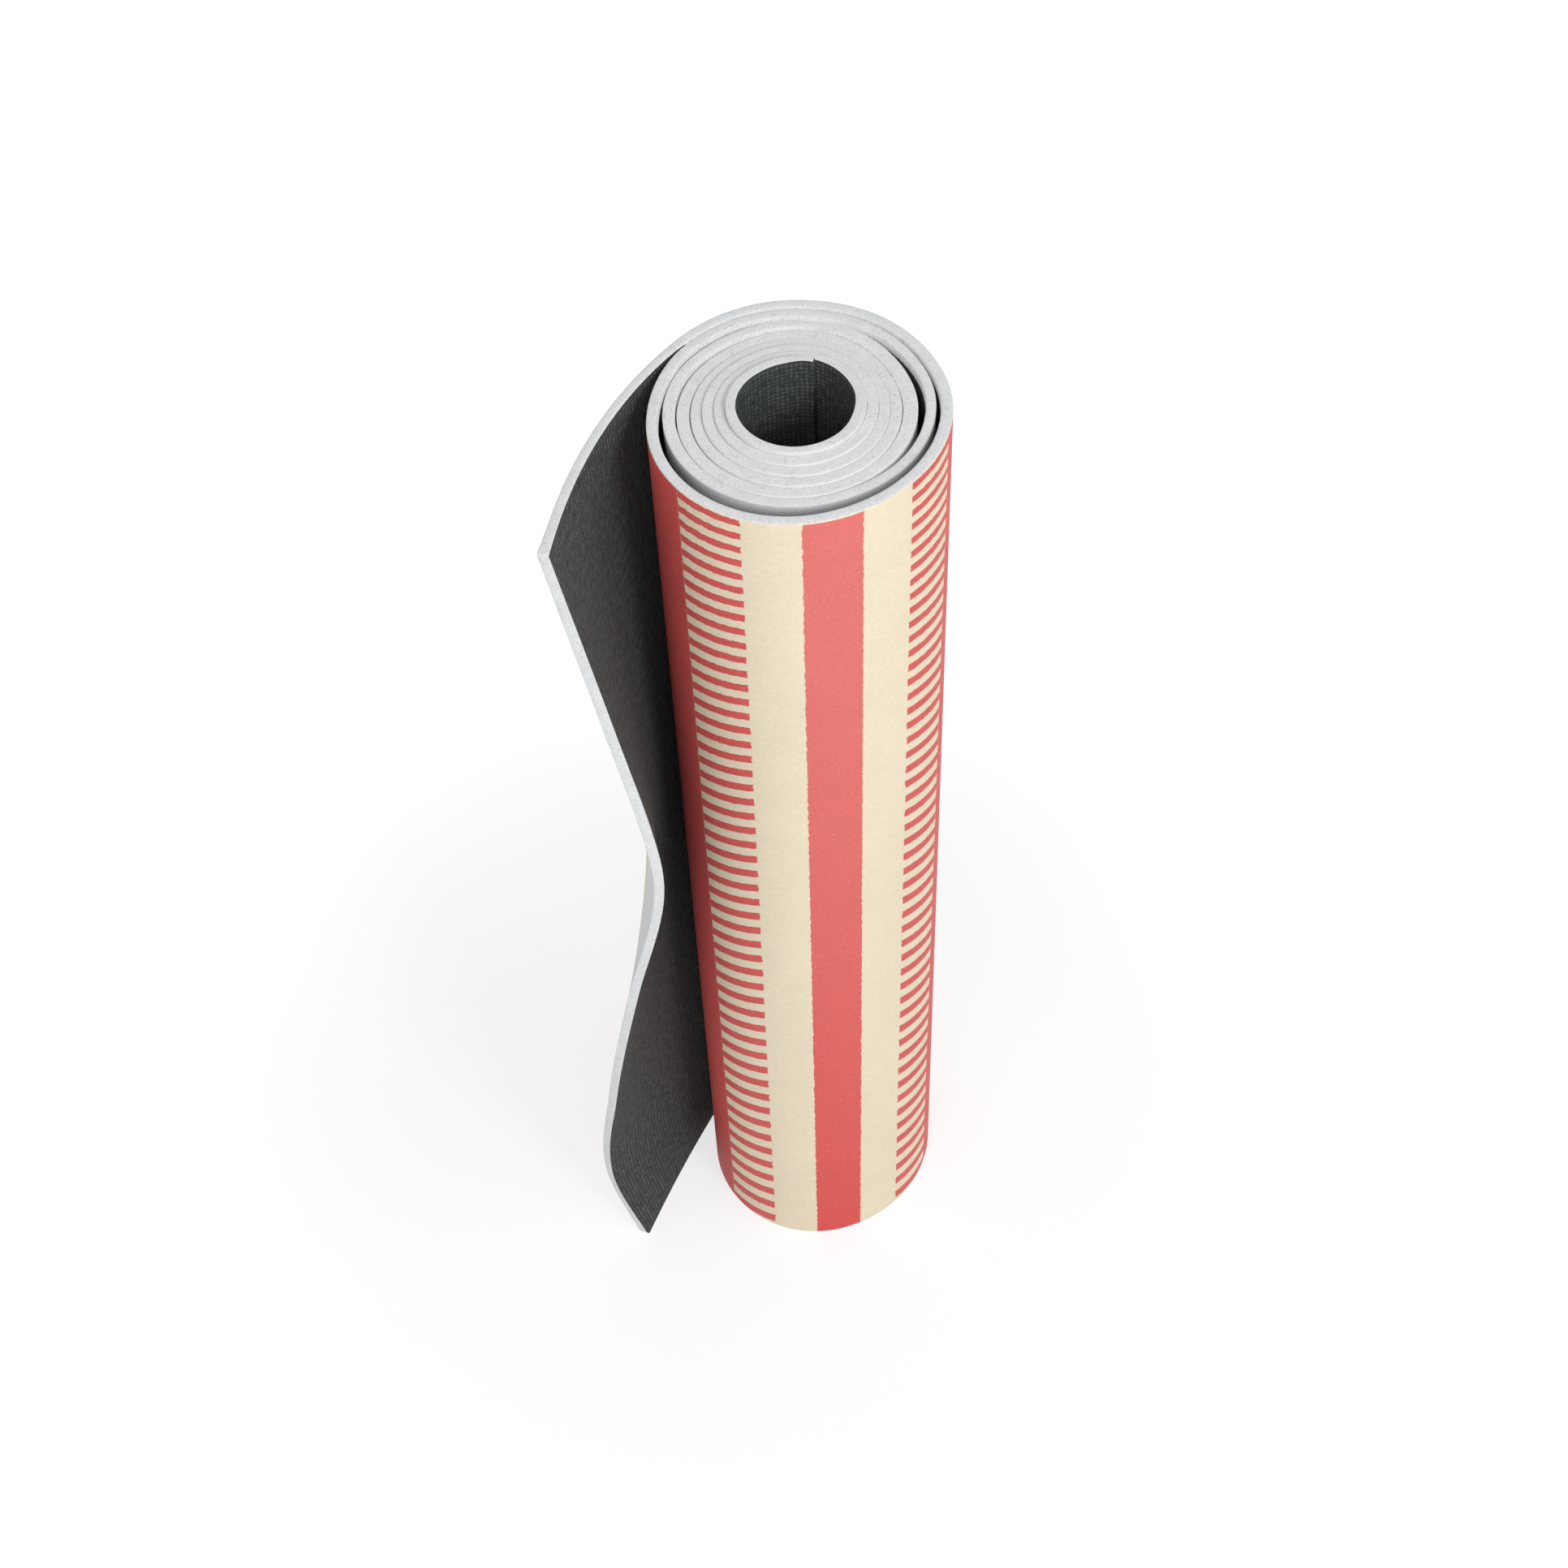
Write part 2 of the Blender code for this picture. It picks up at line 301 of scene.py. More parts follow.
def makePrintedFinish():
    material, tree, shader = newFinish("printedFace", 0.62, 0.4)
    place, along, height = sheetPlace(tree)
    ink = printInk
    red, narrow, bare = stripesAndLadders(tree, place, along, height)
    colour = mixColour(tree, red, ink["cream"], ink["wideRed"])
    # painted sheen: the narrow stripes are painted lighter higher up, and the painted sheen fades towards
    # the foot
    sheenFaded = rampBetween(tree, height, ink["sheenFadesBelow"], 0.0)
    narrowRedWithSheen = mixColour(tree, sheenFaded, ink["narrowRedWithSheen"], ink["narrowRedFootLessSheen"])
    colour = mixColour(tree, narrow, colour, narrowRedWithSheen)
    worn = noiseAt(tree, place, ink["wornScale"], 2, 0.6)
    thin = rampBetween(tree, worn, *ink["wornBetween"], 0.0, ink["wornShare"])
    colour = mixColour(tree, thin, colour, ink["cream"])
    colour = mixColour(tree, bare, colour, ink["bareFoam"])
    grain = noiseAt(tree, place, ink["grainScale"], 3, 0.65)
    blotch = noiseAt(tree, place, ink["blotchScale"], 3, 0.6)
    cloud = noiseAt(tree, place, ink["cloudScale"], 2)
    tone = noiseTone(tree, grain, *ink["grainTone"])
    tone = calc(tree, "ADD", tone, noiseTone(tree, cloud, -ink["cloudTone"], ink["cloudTone"]))
    tone = calc(tree, "ADD", tone, noiseTone(tree, blotch, -ink["blotchTone"], ink["blotchTone"]))
    feed(tree, shader.inputs["Base Color"], scaleVector(tree, colour, tone))
    addBump(tree, shader, grain, ink["relief"], 0.5)
    return material


foamLook = {
    "foam": (0.765, 0.773, 0.780, 1),
    "speck": (0.42, 0.43, 0.44, 1),
    "grip": (0.10, 0.10, 0.105, 1),
    "cellScale": 1100,
    "cellTone": (0.86, 1.09),
    "speckScale": 780,
    "speckBetween": (0.62, 0.72),
    "speckShare": 0.4,
    "cloudScale": 140,
    "cloudTone": (0.95, 1.035),
    "relief": 0.00018,
    "scallop": 0.00135,  # the length of one scallop of the grip along the rim
    "gripShare": 0.01,  # how deep in the sheet the grip shows, and the scallops' extra depth
    "scallopShare": 0.045,
    "patchScale": 90,  # the grip shows in patches
    "patchBetween": (0.42, 0.62),
}


def foamColour(tree, place):
    # pale closed cells with sparse darker specks
    look = foamLook
    cells = noiseAt(tree, place, look["cellScale"], 4, 0.7)
    specks = noiseAt(tree, place, look["speckScale"], 1)
    cloud = noiseAt(tree, place, look["cloudScale"], 4, 0.65)
    specked = rampBetween(tree, specks, *look["speckBetween"], 0.0, look["speckShare"])
    colour = mixColour(tree, specked, look["foam"], look["speck"])
    cellTone = noiseTone(tree, cells, *look["cellTone"])
    tone = multiply(tree, cellTone, noiseTone(tree, cloud, *look["cloudTone"]))
    return scaleVector(tree, colour, tone), cells


def makeFoamFinish():
    # the cut edge of the sheet, where the grip shows here and there as a finely scalloped line
    material, tree, shader = newFinish("foamCore", 0.8, 0.3)
    place = addNode(tree, "ShaderNodeTexCoord").outputs["Object"]
    colour, cells = foamColour(tree, place)
    sheetAt, along, height = sheetPlace(tree)
    depth = addNode(tree, "ShaderNodeAttribute", attribute_name="depth").outputs["Fac"]
    half = foamLook["scallop"] / 2
    bite = multiply(tree, calc(tree, "PINGPONG", along, half), foamLook["scallopShare"] / half)
    bite = calc(tree, "ADD", bite, foamLook["gripShare"])
    patches = noiseAt(tree, sheetAt, foamLook["patchScale"], 3)
    shown = rampBetween(tree, patches, *foamLook["patchBetween"])
    dark = calc(tree, "LESS_THAN", depth, multiply(tree, bite, shown))
    colour = mixColour(tree, dark, colour, foamLook["grip"])
    feed(tree, shader.inputs["Base Color"], colour)
    addBump(tree, shader, cells, foamLook["relief"], 0.6)
    return material


gripLook = {
    "ground": (0.039, 0.0447, 0.0457, 1),
    "thread": (0.180, 0.191, 0.193, 1),
    "threadPitch": 0.0026,
    "crossPitch": 0.0021,
    "threadHeight": 0.0002,
    "drift": 0.0016,  # how far the threads wander
    "driftScale": 130,
    "wornScale": 260,  # where the weave is worn
    "wornBetween": (0.36, 0.66),
    "grainScale": 1500,
    "grainTone": (0.85, 1.15),
    "bareStrip": 0.0045,  # the outer turns' inner side is bare foam this close to the rims
    "stripFrom": -0.93,  # along the sheet, from the peel line
    "stripTo": 0.002,
    "stripGrows": 0.05,
    "stripEnds": 0.008,
    "stripRagged": 0.0012,
    "stripRaggedScale": 500,
}


def makeGripFinish():
    # charcoal foam pressed with an open weave
    material, tree, shader = newFinish("gripBase", 0.8, 0.3)
    place, along, height = sheetPlace(tree)
    look = gripLook
    drift = aroundHalf(tree, noiseAt(tree, place, look["driftScale"], 2), look["drift"])

    def threads(way, pitch):
        turn = multiply(tree, calc(tree, "ADD", way, drift), 2 * math.pi / pitch)
        wave = calc(tree, "MULTIPLY_ADD", calc(tree, "SINE", turn), 0.5, 0.5)
        return calc(tree, "POWER", wave, 2.0)

    upright = threads(along, look["threadPitch"])
    level = threads(height, look["crossPitch"])
    knots = multiply(tree, upright, level)
    weave = calc(tree, "ADD", multiply(tree, calc(tree, "ADD", upright, level), 0.28), knots, clamp=True)
    kept = rampBetween(tree, noiseAt(tree, place, look["wornScale"], 3, 0.65), *look["wornBetween"])
    grain = noiseAt(tree, place, look["grainScale"], 3, 0.6)
    colour = mixColour(tree, multiply(tree, weave, kept), look["ground"], look["thread"])
    colour = scaleVector(tree, colour, noiseTone(tree, grain, *look["grainTone"]))
    # the bare strip near the rims of the outer turns
    nearRim = calc(tree, "MINIMUM", height, calc(tree, "SUBTRACT", sheetSizes["width"], height))
    rag = noiseAt(tree, place, look["stripRaggedScale"], 2)
    ragged = calc(tree, "ADD", nearRim, aroundHalf(tree, rag, look["stripRagged"]))
    start, end = look["stripFrom"], look["stripTo"]
    grown = rampBetween(tree, along, start, start + look["stripGrows"], 0.0, look["bareStrip"])
    reach = multiply(tree, grown, rampBetween(tree, along, end - look["stripEnds"], end, 1.0, 0.0))
    bare = rampBetween(tree, calc(tree, "SUBTRACT", ragged, reach), -0.0002, 0.0, 1.0, 0.0)
    pale, cells = foamColour(tree, addNode(tree, "ShaderNodeTexCoord").outputs["Object"])
    feed(tree, shader.inputs["Base Color"], mixColour(tree, bare, colour, pale))
    relief = calc(tree, "ADD", weave, multiply(tree, grain, 0.4))
    addBump(tree, shader, relief, look["threadHeight"], 0.7)
    return material


finishes = {
    "print": makePrintedFinish(),
    "foam": makeFoamFinish(),
    "grip": makeGripFinish(),
}
print("finishes made:", ", ".join(finish.name for finish in finishes.values()))


# The wound turns: the section swept along the sheet's outer face, from the inner end outwards

rollSizes = {
    "Mat Width": sheetSizes["width"],
    "Sheet Thickness": sheetSizes["thickness"],
    "Bore Radius": 0.0232,
    "Turn Pitch": 0.0050,
    "Wound Turns": 7.19,
    "Inner End Azimuth": 70.0,
    "Core Front Slack": 0.0003,
    "Outer Front Slack": 0.00145,
    "Back Slack": 0.0015,
    "Growing Back Slack": 0.00035,
    "Right Slack": 0.0042,
    "Outer Right Slack": 0.0014,
    "Left Slack": 0.0034,
    "End Slack": 0.0026,
    "Fifth Left Slack": 0.0010,
    "Sixth Left Slack": 0.0011,
    "Fifth Right Slack": 0.0021,
    "Sixth Right Slack": 0.0004,
    "Tight Fill": 0.0005,
    "Back Fill": 0.00035,
    "Core Front Fill": 0.0003,
    "Outer Right Fill": 0.0004,
    "Fifth Left Fill": 0.0007,
    "Sixth Left Fill": 0.0006,
    "Fifth Right Fill": 0.0019,
    "Sixth Right Fill": -0.0005,
    "Bore Right Fill": 0.0008,
    "Bore Front Fill": -0.0007,
    "Inner End Fill": -0.0016,
    "Core Rim Flatness": 0.65,  # the rims of the tight inner turns are this much less rounded
    "Rim Unevenness": 0.0003,
    "Face Unevenness": 0.00025,
    "Columns": 2600,
    "Path Points": 4200,
    "Seed": 11.0,
}

# Where the turns stand apart: the azimuth where each slack is widest, how far it reaches each way,
# the turns between which it holds, and whether it grows with every turn
slackSpots = {
    "Core Front Slack": (268.0, 118.0, 0.0, 6.0, True),
    "Outer Front Slack": (268.0, 118.0, 6.0, 9.0, True),
    "Back Slack": (76.0, 60.0, 0.0, 9.0, False),
    "Growing Back Slack": (76.0, 60.0, 0.0, 9.0, True),
    "Right Slack": (5.0, 85.0, 5.1, 9.0, False),
    "Outer Right Slack": (5.0, 85.0, 6.1, 9.0, False),
    "Left Slack": (232.0, 110.0, 6.1, 9.0, False),
    "End Slack": (131.0, 60.0, 5.8, 9.0, False),
    "Fifth Left Slack": (160.0, 140.0, 3.86, 5.8, False),
    "Sixth Left Slack": (168.0, 115.0, 4.9, 5.8, False),
    "Fifth Right Slack": (18.0, 85.0, 4.6, 5.1, False),
    "Sixth Right Slack": (5.0, 85.0, 5.5, 6.1, False),
}

# Where the soft sheet is thicker, so that its inner face presses on the turn before
fillSpots = {
    "Back Fill": (76.0, 60.0, 1.0, 9.0),
    "Core Front Fill": (268.0, 118.0, 1.0, 6.0),
    "Outer Right Fill": (330.0, 120.0, 6.1, 9.0),
    "Fifth Left Fill": (160.0, 140.0, 3.86, 4.86),
    "Sixth Left Fill": (215.0, 90.0, 5.0, 6.0),
    "Fifth Right Fill": (18.0, 85.0, 4.6, 5.1),
    "Sixth Right Fill": (5.0, 85.0, 5.5, 6.1),
    "Bore Right Fill": (345.0, 38.0, 0.0, 1.0),
    "Bore Front Fill": (262.0, 60.0, 0.0, 1.0),
    "Inner End Fill": (70.0, 30.0, 0.0, 0.1),
}

# How far the top rim lies below the mat's full width, by the turn
rimDrops = (
    (0.0, -0.0008),
    (0.6, 0.0),
    (1.05, 0.0014),
    (2.0, 0.0021),
    (3.0, 0.0035),
    (4.1, 0.0041),
    (4.6, 0.0048),
    (4.9, 0.0038),
    (5.12, 0.0024),
    (5.3, 0.0030),
    (5.54, 0.0051),
    (5.8, 0.0020),
    (6.06, 0.0007),
    (6.5, 0.0),
    (7.19, 0.0),
)
dropRange = {"turns": 8.0, "least": -0.001, "most": 0.007}

# The turns between which each of these sets in or dies away
turnRanges = {
    "pressing": (0.98, 1.05),  # the sheet presses on the turn before from the end of the first turn
    "smoothInnerFace": (7.05, 7.18),  # towards the loose end
    "levelRim": (6.9, 7.15),
    "looseRims": (4.6, 5.0),
}
unevenness = {"faceScale": 150, "rimScale": 2.2}
topBand = {"reach": 0.02, "rounding": 0.0015}  # how far below the top edge the rim's level is set


def bumpAt(azimuth, centre, reach):
    offset = abs((azimuth - centre + 180) % 360 - 180)
    return math.cos(math.pi * min(offset / reach, 1) / 2) ** 2


def spiralPlace(turn):
    # the inner face of the wound sheet, by the same rule as the node tree's
    azimuth = rollSizes["Inner End Azimuth"] + 360 * turn
    radius = rollSizes["Bore Radius"] + rollSizes["Turn Pitch"] * turn
    for name, (centre, reach, first, last, grows) in slackSpots.items():
        if first <= turn < last:
            radius += rollSizes[name] * bumpAt(azimuth, centre, reach) * (turn if grows else 1)
    return radius * Vector((math.cos(math.radians(azimuth)), math.sin(math.radians(azimuth))))


def spiralEnd():
    turn, step = rollSizes["Wound Turns"], 0.005
    ahead = spiralPlace(turn + step) - spiralPlace(turn - step)
    return spiralPlace(turn), math.atan2(ahead.y, ahead.x)


def outward(place, heading, depth):
    return place + depth * Vector((math.sin(heading), -math.cos(heading)))


def rollAxis():
    # the roll's axis stands where the spiral's last outer point meets the peel hinge
    place, heading = spiralEnd()
    corner = outward(place, heading, sheetSizes["thickness"])
    return Vector((hinges["peel"].x - corner.x, hinges["peel"].y - corner.y, 0))


def slackBumpTree():
    # a smooth bump between two turns: 1 at its centre, 0 from its reach outwards
    tree = bpy.data.node_groups.new("slackBump", "GeometryNodeTree")
    for name in ("Turn", "Azimuth", "Centre", "Reach", "First Turn", "Last Turn"):
        tree.interface.new_socket(name=name, in_out="INPUT", socket_type="NodeSocketFloat")
    tree.interface.new_socket(name="Bump", in_out="OUTPUT", socket_type="NodeSocketFloat")
    given = addNode(tree, "NodeGroupInput").outputs
    offset = calc(tree, "ADD", calc(tree, "SUBTRACT", given["Azimuth"], given["Centre"]), 180.0)
    offset = calc(tree, "SUBTRACT", calc(tree, "FLOORED_MODULO", offset, 360.0), 180.0)
    share = calc(tree, "DIVIDE", calc(tree, "ABSOLUTE", offset), given["Reach"], clamp=True)
    bump = calc(tree, "POWER", calc(tree, "COSINE", multiply(tree, share, math.pi / 2)), 2.0)
    begun = calc(tree, "SUBTRACT", 1.0, calc(tree, "LESS_THAN", given["Turn"], given["First Turn"]))
    bump = multiply(tree, bump, begun, calc(tree, "LESS_THAN", given["Turn"], given["Last Turn"]))
    feed(tree, addNode(tree, "NodeGroupOutput").inputs[0], bump)
    return tree


class RollTree:
    # the node tree of the wound sheet, one stage to a method

    def __init__(self):
        self.tree = bpy.data.node_groups.new("woundSheet", "GeometryNodeTree")
        self.declare("Section", "NodeSocketGeometry")
        for name, value in rollSizes.items():
            self.declare(name, "NodeSocketInt" if isinstance(value, int) else "NodeSocketFloat")
        for name in ("Print", "Foam", "Grip"):
            self.declare(name, "NodeSocketMaterial")
        self.declare("Sheet", "NodeSocketGeometry", "OUTPUT")
        self.given = addNode(self.tree, "NodeGroupInput").outputs
        self.bumpTree = slackBumpTree()

    def declare(self, name, kind, way="INPUT"):
        self.tree.interface.new_socket(name=name, in_out=way, socket_type=kind)

    def calc(self, operation, *values, clamp=False):
        return calc(self.tree, operation, *values, clamp=clamp)

    def multiply(self, *values):
        return multiply(self.tree, *values)

    def bump(self, turn, azimuth, spot):
        node = addNode(self.tree, "GeometryNodeGroup", node_tree=self.bumpTree)
        for socket, value in zip(node.inputs, (turn, azimuth, *spot)):
            feed(self.tree, socket, value)
        return node.outputs[0]

    def through(self, kind, geometry, **settings):
        node = addNode(self.tree, kind, **settings)
        feed(self.tree, node.inputs[0], geometry)
        return node

    def move(self, geometry, **fields):
        node = self.through("GeometryNodeSetPosition", geometry)
        for name, value in fields.items():
            feed(self.tree, node.inputs[name], value)
        return node.outputs[0]

    def store(self, geometry, name, value, kind="FLOAT", domain="POINT"):
        node = self.through("GeometryNodeStoreNamedAttribute", geometry, data_type=kind, domain=domain)
        node.inputs["Name"].default_value = name
        feed(self.tree, node.inputs["Value"], value)
        return node.outputs[0]

    def stored(self, name, kind="FLOAT"):
        node = addNode(self.tree, "GeometryNodeInputNamedAttribute", data_type=kind)
        node.inputs["Name"].default_value = name
        return node.outputs[0]

    def azimuthOf(self, turn):
        return self.calc("MULTIPLY_ADD", turn, 360.0, self.given["Inner End Azimuth"])

    def position(self):
        return addNode(self.tree, "GeometryNodeInputPosition").outputs[0]

    def spiral(self):
        # the sheet's inner face, as a curve that holds the turn it has reached
        start = addNode(self.tree, "GeometryNodeCurvePrimitiveLine")
        start.inputs["End"].default_value = (1, 0, 0)
        line = self.through("GeometryNodeResampleCurve", start.outputs[0])
        feed(self.tree, line.inputs["Count"], self.given["Path Points"])
        index = addNode(self.tree, "GeometryNodeInputIndex").outputs[0]
        share = self.calc("DIVIDE", index, self.calc("SUBTRACT", self.given["Path Points"], 1.0))
        turn = self.multiply(share, self.given["Wound Turns"])
        azimuth = self.azimuthOf(turn)
        radius = self.calc("MULTIPLY_ADD", turn, self.given["Turn Pitch"], self.given["Bore Radius"])
        for name, (*spot, grows) in slackSpots.items():
            slack = self.multiply(self.bump(turn, azimuth, spot), self.given[name])
            radius = self.calc("ADD", radius, self.multiply(slack, turn) if grows else slack)
        angle = self.calc("RADIANS", azimuth)
        across = self.multiply(radius, self.calc("COSINE", angle))
        back = self.multiply(radius, self.calc("SINE", angle))
        path = self.move(line.outputs[0], Position=combine(self.tree, across, back, 0.0))
        path = self.store(path, "turn", turn)
        return self.through("GeometryNodeSetCurveNormal", path, mode="Z_UP").outputs[0]

    def printedPath(self, path):
        # out to the printed face, and evenly spaced along it
        normal = addNode(self.tree, "GeometryNodeInputNormal").outputs[0]
        path = self.move(path, Offset=scaleVector(self.tree, normal, self.given["Sheet Thickness"]))
        even = self.through("GeometryNodeResampleCurve", path)
        feed(self.tree, even.inputs["Count"], self.given["Columns"])
        path = self.through("GeometryNodeSetCurveNormal", even.outputs[0], mode="Z_UP").outputs[0]
        path = self.store(path, "outward", normal, "FLOAT_VECTOR")
        reached = addNode(self.tree, "GeometryNodeSplineParameter").outputs["Length"]
        whole = addNode(self.tree, "GeometryNodeSplineLength").outputs["Length"]
        return self.store(path, "along", self.calc("SUBTRACT", reached, whole))

    def sweep(self, path):
        # the section along the path; each point keeps its depth in the sheet and its place on it
        spot = separate(self.tree, self.position())
        depth = self.calc("DIVIDE", spot[0], self.given["Sheet Thickness"])
        profile = self.store(self.given["Section"], "depth", self.calc("ADD", depth, 1.0))
        swept = self.through("GeometryNodeCurveToMesh", path)
        feed(self.tree, swept.inputs["Profile Curve"], profile)
        swept.inputs["Fill Caps"].default_value = True
        height = separate(self.tree, self.position())[2]
        flat = combine(self.tree, self.stored("along"), height, 0.0)
        return self.store(swept.outputs[0], "sheet", flat, "FLOAT2", "CORNER")

    def fill(self, turn):
        # how far the inner face is pushed in
        azimuth = self.azimuthOf(turn)
        begins = rampBetween(self.tree, turn, *turnRanges["pressing"], smooth=True)
        fill = self.multiply(self.given["Tight Fill"], begins)
        for name, spot in fillSpots.items():
            fill = self.calc("ADD", fill, self.multiply(self.bump(turn, azimuth, spot), self.given[name]))
        rag = addNode(self.tree, "ShaderNodeTexNoise", noise_dimensions="4D")
        feed(self.tree, rag.inputs["W"], self.given["Seed"])
        rag.inputs["Scale"].default_value = unevenness["faceScale"]
        rag.inputs["Detail"].default_value = 3
        ragged = aroundHalf(self.tree, rag.outputs[0], self.given["Face Unevenness"])
        ends = rampBetween(self.tree, turn, *turnRanges["smoothInnerFace"], 1.0, 0.0)
        return self.calc("ADD", fill, self.multiply(ragged, begins, ends))

    def rimDrop(self, turn):
        # the rims' level by the turn, with a little unevenness
        level = addNode(self.tree, "ShaderNodeFloatCurve")
        span = dropRange["most"] - dropRange["least"]
        knots = [(at / dropRange["turns"], (drop - dropRange["least"]) / span) for at, drop in rimDrops]
        curve = level.mapping.curves[0]
        curve.points[0].location = knots[0]
        curve.points[1].location = knots[-1]
        for knot in knots[1:-1]:
            curve.points.new(*knot)
        for point in curve.points:
            point.handle_type = "AUTO_CLAMPED"
        level.mapping.update()
        feed(self.tree, level.inputs["Value"], self.calc("DIVIDE", turn, dropRange["turns"]))
        drop = self.calc("MULTIPLY_ADD", level.outputs[0], span, dropRange["least"])
        uneven = addNode(self.tree, "ShaderNodeTexNoise", noise_dimensions="1D")
        feed(self.tree, uneven.inputs["W"], self.calc("ADD", turn, self.given["Seed"]))
        uneven.inputs["Scale"].default_value = unevenness["rimScale"]
        ends = rampBetween(self.tree, turn, *turnRanges["levelRim"], 1.0, 0.0)
        return self.calc("ADD", drop, self.multiply(uneven.outputs[0], self.given["Rim Unevenness"], ends))

    def press(self, mesh):
        # pushes the inner face in, and sets the top rims' level
        turn, depth = self.stored("turn"), self.stored("depth")
        innerShare = self.calc("SUBTRACT", 1.0, depth, clamp=True)
        pushed = self.multiply(self.fill(turn), innerShare, -1.0)
        push = scaleVector(self.tree, self.stored("outward", "FLOAT_VECTOR"), pushed)
        height = separate(self.tree, self.position())[2]
        below = self.calc("SUBTRACT", self.given["Mat Width"], height)
        nearTop = self.calc("LESS_THAN", below, topBand["reach"])
        tight = rampBetween(self.tree, turn, *turnRanges["looseRims"], 1.0, 0.0)
        rounded = self.multiply(below, self.calc("LESS_THAN", below, topBand["rounding"]), tight)
        raised = self.multiply(rounded, self.given["Core Rim Flatness"])
        level = self.calc("SUBTRACT", raised, self.multiply(self.rimDrop(turn), nearTop))
        sink = combine(self.tree, 0.0, 0.0, level)
        both = addNode(self.tree, "ShaderNodeVectorMath", operation="ADD")
        feed(self.tree, both.inputs[0], push)
        feed(self.tree, both.inputs[1], sink)
        return self.move(mesh, Offset=both.outputs[0])

    def paint(self, mesh):
        # finishes, by how deep in the sheet each face lies; the cut end in the bore is dark
        turn, depth = self.stored("turn"), self.stored("depth")
        innerEnd = self.calc("LESS_THAN", turn, 1e-5)  # no turn at all
        gripSide = self.calc("LESS_THAN", depth, sheetSizes["gripDepthShare"])
        painted = {
            "Foam": True,
            "Grip": self.calc("MAXIMUM", gripSide, innerEnd),
            "Print": self.calc("GREATER_THAN", depth, sheetSizes["printDepthShare"]),
        }
        for name, where in painted.items():
            node = self.through("GeometryNodeSetMaterial", mesh)
            feed(self.tree, node.inputs["Selection"], where)
            feed(self.tree, node.inputs["Material"], self.given[name])
            mesh = node.outputs[0]
        return mesh

    def build(self):
        mesh = self.press(self.sweep(self.printedPath(self.spiral())))
        mesh = self.through("GeometryNodeFlipFaces", mesh).outputs[0]  # outwards
        mesh = self.through("GeometryNodeSetShadeSmooth", mesh).outputs[0]
        mesh = self.through("GeometryNodeRealizeInstances", mesh).outputs[0]
        feed(self.tree, addNode(self.tree, "NodeGroupOutput").inputs[0], self.paint(mesh))
        return self.tree


def sectionCurve(name, rows):
    # the section as a closed flat curve, with its outer face at zero
    curve = bpy.data.curves.new(name, "CURVE")
    curve.dimensions = "3D"
    loop = section(rows)
    spline = curve.splines.new("POLY")
    spline.points.add(len(loop) - 1)
    for point, (depth, height) in zip(spline.points, loop):
        point.co = (depth - sheetSizes["thickness"], -height, 0, 1)
    spline.use_cyclic_u = True
    maker = bpy.data.objects.new(name, curve)
    bpy.context.scene.collection.objects.link(maker)
    return maker


def makeWoundRoll():
    first = sheetSizes["firstRow"]
    maker = sectionCurve("sheetSection", [first, sheetSizes["width"] - first])
    tree = RollTree().build()
    sweep = maker.modifiers.new("wind", "NODES")
    sweep.node_group = tree
    values = dict(rollSizes, Print=finishes["print"], Foam=finishes["foam"], Grip=finishes["grip"])
    for item in tree.interface.items_tree:
        if item.in_out == "INPUT" and item.name in values:
            sweep[item.identifier] = values[item.name]
    bpy.context.view_layer.update()
    graph = bpy.context.evaluated_depsgraph_get()
    wound = maker.evaluated_get(graph)
    mesh = bpy.data.meshes.new_from_object(wound, preserve_all_data_layers=True, depsgraph=graph)
    maker.modifiers.remove(sweep)
    bpy.data.objects.remove(maker)
    mesh.name = "wound_roll"
    mesh.transform(Matrix.Translation(axis))
    mesh.set_sharp_from_angle(angle=sharpFrom)
    roll = bpy.data.objects.new("wound_roll", mesh)
    bpy.context.scene.collection.objects.link(roll)
    return roll


sharpFrom = math.radians(50)
axis = rollAxis()
woundRoll = makeWoundRoll()
print("roll wound:", len(woundRoll.data.polygons), "faces about", tuple(round(value, 5) for value in axis))


# The loose end: two stretches of the same sheet, laid along its curl

looseSizes = {
    "footHeld": 0.0120,  # at the foot the sheet leaves the roll this much later than at the top
    "bendAt": 0.0620,
    "peelReach": 0.035,  # lengths past the peel and bend hinges; the places worked out from them are not used
    "bendReach": 0.022,
    "curlHeights": (0.0, 0.10, 0.26, 0.46, 0.59, 0.66, 0.82, 1.0),  # shares of the mat's width
    "curlAngles": (8, -7, 8, 32, 49, 51.5, 43.5, 33),  # the degrees that it curls through there
    "earlyCurl": 0.33,  # how much more of the curl lies near the roll
    "curlArcs": 12,
    "creaseReach": 0.012,  # the sheet is as thick as in the roll at first, and thins over this length
    "cutSwell": 0.0008,  # the foam swells a little towards its cut edge
    "cutReach": 0.022,
    "footCorner": 0.0035,
    "footRows": (0.0008, 0.0016, 0.0026),
    "columnSpacing": 0.0026,
}


def advance(place, heading, length, turned):
    # follows an arc of this length that turns by this angle
    half = turned / 2
    chord = length if abs(half) < 1e-6 else length * math.sin(half) / half
    middle = heading + half
    return place + chord * Vector((math.cos(middle), math.sin(middle))), heading + turned


def curlAt(share):
    # the curl at a share of the mat's width, on a smooth curve through the sizes above
    heights, angles = looseSizes["curlHeights"], looseSizes["curlAngles"]
    last = len(heights) - 2
    index = min(sum(share >= height for height in heights[1:]), last)
    low, high = heights[index : index + 2]
    slopes = []
    for knot in (index, index + 1):
        before, after = max(knot - 1, 0), min(knot + 1, last + 1)
        rise = angles[after] - angles[before]
        slopes.append(rise / (heights[after] - heights[before]) * (high - low))
    part = (share - low) / (high - low)
    rest = 1 - part
    start, end = angles[index : index + 2]
    eased = start + (end - start) * part * part * (3 - 2 * part)
    return eased + slopes[0] * part * rest**2 - slopes[1] * part * part * rest


def curledShare(reach):
    return reach + looseSizes["earlyCurl"] * reach * (1 - reach)


